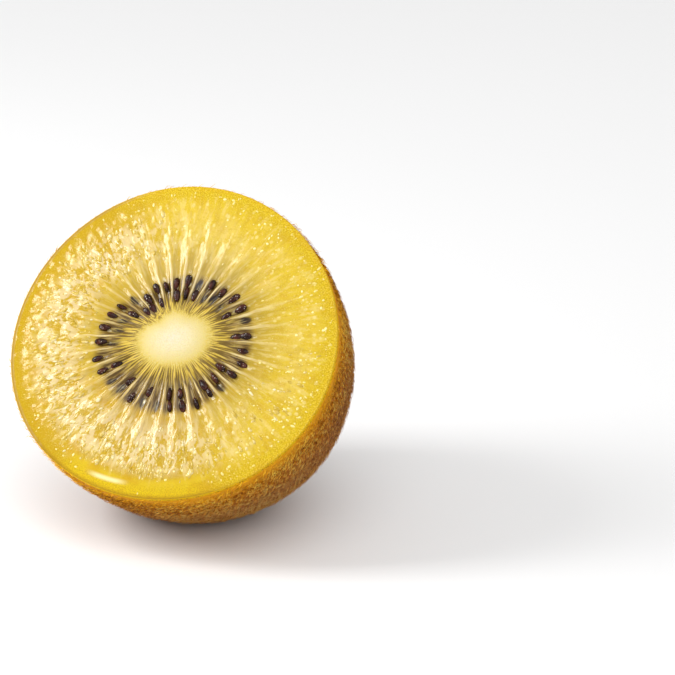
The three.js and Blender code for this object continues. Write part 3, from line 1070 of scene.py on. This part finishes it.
def made_from(tree, name, base, variants, values, material):
    """What a tree makes over a base mesh out of the patterns that it picks from."""
    collection = bpy.data.collections.new(name + "_patterns")
    for mesh in variants:
        collection.objects.link(bpy.data.objects.new(mesh.name, mesh))
    piece = made_by(tree, name, base, {**values, "Pattern": collection}, material)
    for pattern in list(collection.objects):
        bpy.data.objects.remove(pattern)
    bpy.data.collections.remove(collection)
    return piece


def laid_turn(*turns):
    """Turns about axes of the fruit's own frame, the first outermost, as angles in the row's frame."""
    own = Matrix(TURN.tolist())
    for angle, axis in turns:
        own = own @ Matrix.Rotation(angle, 3, axis)
    return list(own.to_euler())


def set_out(name, variants, places, turns, sizes, material):
    """A piece made of patterns set out at places of the fruit's own frame."""
    base = bpy.data.meshes.new(name + "_places")
    base.from_pydata(in_place(places).tolist(), [], [])
    give(base, "turn", turns)
    give(base, "size", sizes)
    return made_from(placed_tree(), name, base, variants, {"Size": 1.0}, material)


# Skin and fuzz


def stored(tree, geometry, name, kind, value):
    """The geometry with a named value on each of its points."""
    node = put(tree, "GeometryNodeStoreNamedAttribute", {"Geometry": geometry, "Name": name})
    node.data_type = kind
    feed(node.inputs["Value"], value)
    return node.outputs[0]


def skin_tree():
    """The skin's cup: up its inner wall, over the cut edge and down the outside to the stem end."""
    names = ["Equator radius", "Half length", "Barrel power", "Thickness", "Edge thickness", "Bumps"]
    tree, given = new_tree("turned_skin", names, ["Around", "Rows inside", "Rows outside"], pattern=False)
    wide, deep, power, thickness, edge, bumps = (Num(given[name]) for name in names)
    inside, outside = Num(given["Rows inside"]), Num(given["Rows outside"])
    around = Num(given["Around"])
    grid = put(
        tree,
        "GeometryNodeMeshGrid",
        {"Size X": 1.0, "Size Y": 1.0, "Vertices X": around + 1, "Vertices Y": inside + outside + 1},
    )
    u, v, _ = split(put(tree, "GeometryNodeInputPosition").outputs[0])
    angle = (u + 0.5) * (2 * math.pi)
    row = (v + 0.5) * (inside + outside)
    within = row.work("LESS_THAN", inside - 0.5)
    turn_in = (1 - row / (inside - 1)).work("MAXIMUM", 0.0)
    turn_out = ((row - inside) / outside).work("MAXIMUM", 0.0) ** 0.9
    turn = turn_in * within + turn_out * (1 - within)

    quarter = turn * (math.pi / 2)
    across = quarter.work("COSINE").work("MAXIMUM", 0.0) ** (2 / power)
    along = quarter.work("SINE").work("MAXIMUM", 0.0) ** (2 / power)
    out_across = across ** (power - 1) / wide
    out_along = along ** (power - 1) / deep
    length = (out_across * out_across + out_along * out_along).work("SQRT")
    depth = (edge + (thickness - edge) * turn.step(0.01, 0.06)) * within
    radius = wide * across - depth * out_across / length
    height = depth * out_along / length - deep * along - SKIN_EDGE_BELOW_CUT * turn.step(0.02, 0.0)

    oval = ((angle - math.radians(OVAL_DEG)) * 2).work("COSINE") * OVAL_SHARE
    three_sided = ((angle - math.radians(THREE_SIDED_DEG)) * 3).work("COSINE") * THREE_SIDED_SHARE
    shape = radius * (oval + three_sided + 1)
    x, y = shape * angle.work("COSINE"), shape * angle.work("SINE")
    place = joined(x, y, height)
    raised = (grain(place, 0.8, 1) - 0.5) * 0.18 + (grain(place, 0.11, 0) - 0.5) * 0.22 - 0.08
    raised = raised * bumps * turn.step(0.0, 0.05) * (1 - within)
    x = x + x / shape.work("MAXIMUM", 0.001) * out_across / length * raised
    y = y + y / shape.work("MAXIMUM", 0.001) * out_across / length * raised
    torn = (angle * 5).work("COSINE") * 0.35 + (angle * 3 + 1).work("COSINE") * 0.15 + 1

    def bump(middle, width):
        off = (radius - middle) * (1 / width)
        return (off * off * -1).work("EXPONENT")

    scar = torn * SEPAL_HEIGHT * bump(SEPAL_RADIUS, SEPAL_WIDTH)
    scar = scar + (torn * 0.2 + 0.8) * COLLAR_HEIGHT * bump(COLLAR_RADIUS, COLLAR_WIDTH)
    scar = scar - GROOVE_DEPTH * bump(GROOVE_RADIUS, GROOVE_WIDTH) - HOLLOW_DEPTH * bump(0.0, HOLLOW_RADIUS)
    far_end = height.work("LESS_THAN", -HALF_LENGTH / 2) * (1 - within)
    z = height - out_along / length * raised - scar * far_end

    sin, cos = math.sin(math.radians(90 - LEAN_DEG)), math.cos(math.radians(90 - LEAN_DEG))
    shift_x, shift_y, shift_z = SHIFT.tolist()
    placed_z = (y * sin + z * cos + shift_z).work("MAXIMUM", 0.0)
    placed_x = x + shift_x
    placed_y = y * cos - z * sin + shift_y
    placed = joined(placed_x * 0.001, placed_y * 0.001, placed_z * 0.001)
    bare = far_end * radius.work("LESS_THAN", GROOVE_RADIUS + 0.4)
    below_cut = z * -1
    thicker = below_cut.step(0.3, 1.0) * 0.4 + below_cut.step(0.8, 4.0) * 0.6
    hairy = (1 - within) * (1 - bare) * placed_z.step(0.6, 1.6) * thicker
    named = stored(tree, grid.outputs["Mesh"], "hairy", "FLOAT", hairy)
    moved = put(tree, "GeometryNodeSetPosition", {"Geometry": named, "Position": placed})
    # The fruit's own frame again, worked back from the place
    px, py, pz = split(put(tree, "GeometryNodeInputPosition").outputs[0])
    back_y = py * 1000 - shift_y
    back_z = pz * 1000 - shift_z
    own = joined(px * 1000 - shift_x, back_y * cos + back_z * sin, back_z * cos - back_y * sin)
    kept = stored(tree, moved.outputs[0], "fruit", "FLOAT_VECTOR", own)
    closed = put(tree, "GeometryNodeMergeByDistance", {"Geometry": kept, "Distance": 1e-6})
    outwards = put(tree, "GeometryNodeFlipFaces", {"Mesh": closed.outputs[0]})
    close_tree(tree, given, outwards.outputs[0])
    return tree


def make_skin(material):
    """The skin as a closed cup, thin at the cut edge and thicker below it."""
    values = {
        "Equator radius": EQUATOR_RADIUS,
        "Half length": HALF_LENGTH,
        "Barrel power": BARREL_POWER,
        "Thickness": 0.45,
        "Edge thickness": SKIN_THICKNESS + 0.02,
        "Bumps": 1.0,
        "Around": 320,
        "Rows inside": 14,
        "Rows outside": 96,
    }
    return made_by(skin_tree(), "skin_shell", bpy.data.meshes.new("skin_start"), values, material)


def hair_mesh(name, length, thickness, lean, curl, rings):
    """A tapered three-sided hair that rises, leans over and curls."""
    sides = 3

    def middle(t):
        rise = (1 - lean * 0.55) * math.sin(math.pi * 0.5 * t) * (1 - 0.35 * lean * t)
        return Vector((lean * t**1.3, curl * math.sin(math.pi * 1.2 * t), rise)) * length

    points = []
    for ring in range(rings):
        t = ring / rings
        along = (middle(t + 0.1) - middle(t)).normalized()
        upper = Vector((0, 1, 0)).cross(along).normalized()
        aside = along.cross(upper)
        for s in range(sides):
            around = 2 * math.pi * s / sides + t
            reach = thickness / 2 * (1 - 0.4 * t)
            points.append(middle(t) + (upper * math.cos(around) * 0.6 + aside * math.sin(around)) * reach)
    points.append(middle(1.0))
    faces = [(2, 1, 0)]
    for ring in range(rings - 1):
        for s in range(sides):
            a, b = ring * sides + s, ring * sides + (s + 1) % sides
            faces.append((a, b, b + sides, a + sides))
    tip = len(points) - 1
    last = (rings - 1) * sides
    faces += [(last + s, last + (s + 1) % sides, tip) for s in range(sides)]
    mesh = bpy.data.meshes.new(name)
    mesh.from_pydata(((np.array(points) - [0, 0, 0.03]) / 1000).tolist(), [], faces)
    return mesh


def make_fuzz(skin, material):
    """Combed lying hairs in two pieces, short upright ones in a third, long curling ones in a fourth."""
    tree = fuzz_tree()
    kinds = {
        "fuzz_lying_a": (18500, 3, 1.1, 0.12, (1.05, 0.12), 2, 0.7),
        "fuzz_lying_b": (18500, 4, 1.3, 0.10, (1.0, 0.2), 2, 0.9),
        "fuzz_short": (12000, 6, 0.6, 0.06, (0.8, 0.12), 2, 3.1),
        "fuzz_long": (6000, 8, 0.9, 0.06, (0.9, 0.3), 3, 3.1),
    }
    made = []
    area = sum(p.area for p in skin.data.polygons) / 2
    for name, (count, seed, length, thickness, (lean, curl), rings, spin) in kinds.items():
        variants = []
        for i in range(4):
            hair = (length * (0.8 + 0.1 * i), thickness, lean - 0.05 * i, curl * (-1) ** i, rings)
            variants.append(hair_mesh(f"{name}_{i}", *hair))
        values = {
            "Hairs per square metre": count / area,
            "Shortest": 0.6,
            "Longest": 1.3,
            "Spin": spin,
            "Seed": seed,
        }
        piece = made_from(tree, name, skin.data.copy(), variants, values, material)
        # No hair reaches through the surface that the fruit rests on
        points = points_of(piece.data)
        points[:, 2] = np.maximum(points[:, 2], LOWEST_HAIR)
        set_points(piece.data, points)
        made.append(piece)
    return made


def ball_mesh(name, sides, rings):
    """A closed ball, 1 mm across, that beads, grains, flakes and seeds are shaped from."""
    around = np.arange(sides) / sides * 2 * math.pi
    theta, phi = np.meshgrid(np.linspace(0, math.pi, rings + 1)[1:-1], around, indexing="ij")
    rows = np.stack([np.sin(theta) * np.cos(phi), np.sin(theta) * np.sin(phi), np.cos(theta)], -1)
    mesh, points = revolved(name, rows / 2, np.array([[0, 0, 0.5], [0, 0, -0.5]]))
    set_points(mesh, points / 1000)
    mesh.shade_smooth()
    return mesh


def seed_mesh():
    """A flattened drop along X, narrower at the end that points at the core."""
    mesh = ball_mesh("seed_pattern", 18, 12)
    x, y, z = (points_of(mesh) * 1000).T
    narrowing = 1 + SEED_TAPER * 2 * z
    wide = x * SEED_WIDTH * SHOWN_SEED_WIDTH * narrowing
    thick = y * SEED_THICKNESS * SHOWN_SEED_THICKNESS * narrowing
    # The ball's axis is turned onto X, so that its faces still look outwards
    set_points(mesh, np.stack([z * SEED_LENGTH, wide, thick], 1) / 1000)
    return mesh


def make_seeds(material):
    """The seeds that stand in the cut, each pointing at the core."""
    shown = [s for s in SEEDS if not s["deep"]]
    places = [[s["x"], s["y"], s["height"]] for s in shown]
    turns = [laid_turn((s["heading"], "Z"), (s["pitch"], "Y"), (s["roll"], "X")) for s in shown]
    return set_out("seeds", [seed_mesh()], places, turns, [s["scale"] for s in shown], material)


def strewn_on_cut(name, face, tries, variants, chance, size, purpose, material):
    """Patterns strewn over the cut by a chance for each place, their length along the fruit's rays."""
    spokes = face.shape[1]
    places, turns, sizes = [], [], []
    for item in range(tries):
        spoke = int(draw(item, purpose) * spokes)
        radius = EQUATOR_RADIUS * math.sqrt(draw(item, purpose + 1))
        ring = int(np.abs(np.hypot(face[:, spoke, 0], face[:, spoke, 1]) - radius).argmin())
        x, y, height = face[ring, spoke]
        if draw(item, purpose + 2) > chance(x, y, radius):
            continue
        heading = math.atan2(y, x) + 0.7 * (draw(item, purpose + 3) - 0.5)
        places.append([x, y, height])
        turns.append(laid_turn((heading, "Z")))
        sizes.append(size[0] + size[1] * draw(item, purpose + 4) ** 2)
    return set_out(name, variants, places, turns, sizes, material)


def bead_chance(x, y, radius):
    """Beads of juice stand mostly near the rim, on the right and below."""
    right = smooth((x - 0.35 * y) / EQUATOR_RADIUS, -0.5, 0.5)
    spread = (0.16 + 0.84 * smooth(radius, 20, 24)) * smooth(radius, 14, 18) * (radius < 26.2)
    return 0.5 * spread * (0.3 + 0.7 * right) * (1 - 0.9 * juice_pool(x, y))


def pulp_chance(x, y, radius):
    """Torn pulp stands up mostly on the left and below, between the seeds and the rim."""
    low_right = 0.3 * smooth((0.45 * x - 0.85 * y) / EQUATOR_RADIUS, 0.2, 0.7)
    torn = np.maximum(smooth(torn_side(x, y), 0.45, 1.0) ** 1.5, low_right)
    clumps = smooth(noise.noise((x / 2.6, y / 2.6, 3.0)), -0.25, 0.3)
    spread = smooth(radius, 13.5, 18) * (1 - smooth(radius, 21.8, 25))
    return torn * spread * (0.2 + 0.8 * clumps) * (1 - juice_pool(x, y))


def make_juice(face, beads, pulp):
    """Beads of juice, and the torn ends of the juice sacs as small wet grains."""
    bead_shapes = ((0.9, 0.8, 0.4), (1.4, 0.7, 0.36), (0.8, 1.1, 0.34), (1.1, 0.6, 0.3))
    grain_shapes = ((0.85, 0.36, 0.22), (1.25, 0.4, 0.24), (0.55, 0.42, 0.2), (1.0, 0.55, 0.22))
    kinds = []
    for name, sides, shapes in (("bead", 8, bead_shapes), ("pulp_grain", 6, grain_shapes)):
        meshes = []
        for number, shape in enumerate(shapes):
            mesh = ball_mesh(f"{name}_{number}", sides, sides - 1)
            # Sunk a little, so that it swells out of the surface
            mesh.transform(Matrix.Translation((0, 0, -0.00016 * shape[2])) @ Matrix.Diagonal((*shape, 1.0)))
            meshes.append(mesh)
        kinds.append(meshes)
    return [
        strewn_on_cut("juice_beads", face, BEAD_TRIES, kinds[0], bead_chance, (0.2, 0.42), 21, beads),
        strewn_on_cut("torn_pulp", face, PULP_TRIES, kinds[1], pulp_chance, (0.65, 0.85), 51, pulp),
    ]


# Stem scar


def far_surface(radius, angle):
    """A point of the far end's surface, on top of the scar's relief."""
    barrel = (1 - (radius / EQUATOR_RADIUS) ** BARREL_POWER) ** (1 / BARREL_POWER)
    height = -HALF_LENGTH * barrel - float(stem_scar(radius, angle))
    return [radius * math.cos(angle), radius * math.sin(angle), height]


def strewn_on_scar(name, variants, count, reach, tilt, purpose, material):
    """Patterns set round the stem scar, each pointing outwards and tilted off the surface."""
    places, turns, sizes = [], [], []
    for item in range(count):
        angle = (item + 0.7 * draw(item, purpose)) / count * 2 * math.pi
        radius = reach[0] + (reach[1] - reach[0]) * draw(item, purpose + 1)
        aside = 0.6 * (draw(item, purpose + 2) - 0.5)
        raised = -tilt * (0.4 + draw(item, purpose + 3))
        places.append(far_surface(radius, angle))
        turns.append(laid_turn((angle, "Z"), (math.pi, "X"), (aside, "Z"), (raised, "Y")))
        sizes.append(0.75 + 0.5 * draw(item, purpose + 4))
    return set_out(name, variants, places, turns, sizes, material)


def sepal_mesh(name, number):
    """A dry torn flake, thin and curled up at its outer end."""
    mesh = ball_mesh(name, 14, 9)
    points = points_of(mesh) * 1000
    torn = 1 + 0.25 * rough(points + number * 7, 0.4)[:, None]
    points = points * [2.5, 1.5, 0.16] * torn
    points[:, 2] += 0.16 * (points[:, 0] + 0.4) ** 2 - 0.1 * points[:, 1] ** 2
    set_points(mesh, points / 1000)
    return mesh


def make_stem_scar(material):
    """Torn sepals round the scar, and short stiff fibres on its collar."""
    flakes = [sepal_mesh(f"sepal_{i}", i) for i in range(3)]
    fibres = []
    for i in range(3):
        fibres.append(hair_mesh(f"stem_fibre_{i}", 1.0 + 0.25 * i, 0.26, 0.45, 0.2 * (-1) ** i, 3))
    return [
        strewn_on_scar("sepals", flakes, SEPAL_COUNT, (3.9, 4.9), 0.35, 31, material),
        strewn_on_scar("stem_fibres", fibres, STEM_FIBRE_COUNT, (1.5, 3.3), 0.2, 41, material),
    ]


# Studio


def look_along(item, direction):
    """Turns a lamp or a camera so that it looks along a direction."""
    item.rotation_mode = "QUATERNION"
    item.rotation_quaternion = Vector(direction).to_track_quat("-Z", "Y")


def set_camera():
    """The camera at the photograph's angle, turned so that the half lies left of the frame's middle."""
    azimuth, elevation = math.radians(VIEW_AZIMUTH_DEG), math.radians(VIEW_ELEVATION_DEG)
    back = Vector(
        (
            math.sin(azimuth) * math.cos(elevation),
            -math.cos(azimuth) * math.cos(elevation),
            math.sin(elevation),
        )
    )
    lens = bpy.data.cameras.new("camera")
    lens.sensor_width = 36.0
    lens.lens = FOCAL_PIXELS / PICTURE_WIDTH * lens.sensor_width
    lens.clip_start, lens.clip_end = 0.01, 20.0
    camera = add_object("camera", lens)
    camera.location = Vector(SHIFT / 1000) + back * VIEW_DISTANCE
    aim = Vector((AIM_RIGHT_PIXELS, AIM_UP_PIXELS, -FOCAL_PIXELS)).normalized()
    off_middle = aim.rotation_difference(Vector((0, 0, -1)))
    look_along(camera, -back)
    camera.rotation_quaternion = camera.rotation_quaternion @ off_middle
    bpy.context.scene.camera = camera


def soft_light(name, direction, distance, size, power):
    lamp = bpy.data.lights.new(name, "AREA")
    lamp.shape = "RECTANGLE"
    lamp.size, lamp.size_y = size
    lamp.energy = power
    light = add_object(name, lamp)
    away = Vector(direction).normalized()
    light.location = Vector(SHIFT / 1000) + away * distance
    look_along(light, -away)


def set_studio():
    """A plain pale floor and soft light, strongest from the upper left."""
    world = bpy.data.worlds.new("studio")
    world.use_nodes = True
    background = world.node_tree.nodes["Background"]
    background.inputs["Color"].default_value = (1.0, 1.0, 1.0, 1.0)
    background.inputs["Strength"].default_value = SKY_STRENGTH
    bpy.context.scene.world = world
    soft_light("key", (-0.76, -0.34, 0.555), KEY_DISTANCE, KEY_SIZE, KEY_POWER)
    overhead = bpy.data.lights.new("overhead", "SUN")
    overhead.energy = SUN_STRENGTH
    overhead.angle = SUN_ANGLE
    look_along(add_object("overhead", overhead), (-0.35, 0.5, -0.8))
    material, tree, shader = new_material("pale_floor", {"Roughness": 0.6})
    place = own_place(tree)
    tone = grain(place, 3, 1)
    feed(
        shader.inputs["Base Color"],
        ramp(tone, [(0.3, (0.88, 0.88, 0.88)), (0.7, (0.9, 0.9, 0.9))]),
    )
    mesh = bpy.data.meshes.new("floor")
    far = FLOOR_REACH
    corners = [(-far, -far, 0), (far, -far, 0), (far, far, 0), (-far, far, 0)]
    mesh.from_pydata(corners, [], [(0, 1, 2, 3)])
    mesh.materials.append(material)
    floor = add_object("floor", mesh)
    bpy.context.scene.view_settings.view_transform = "Standard"


def ride_with(piece, slot, *nodes):
    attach(piece, "root")
    if nodes:
        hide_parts(*nodes)


def main():
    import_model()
    set_camera()
    set_studio()

    flesh, face = make_cut_flesh(flesh_material())
    skin = make_skin(skin_material())
    fuzz = make_fuzz(skin, fuzz_material())
    seeds = make_seeds(seed_material())
    juice = make_juice(face, bead_material(), pulp_material())
    scar = make_stem_scar(scar_material())

    ride_with(flesh, "flesh", "flesh")
    ride_with(skin, "skin", "skin")
    ride_with(seeds, "seed")
    for piece in juice:
        ride_with(piece, "flesh")
    for piece in fuzz:
        ride_with(piece, "fuzz")
    for piece in scar:
        ride_with(piece, "stem_scar")


main()
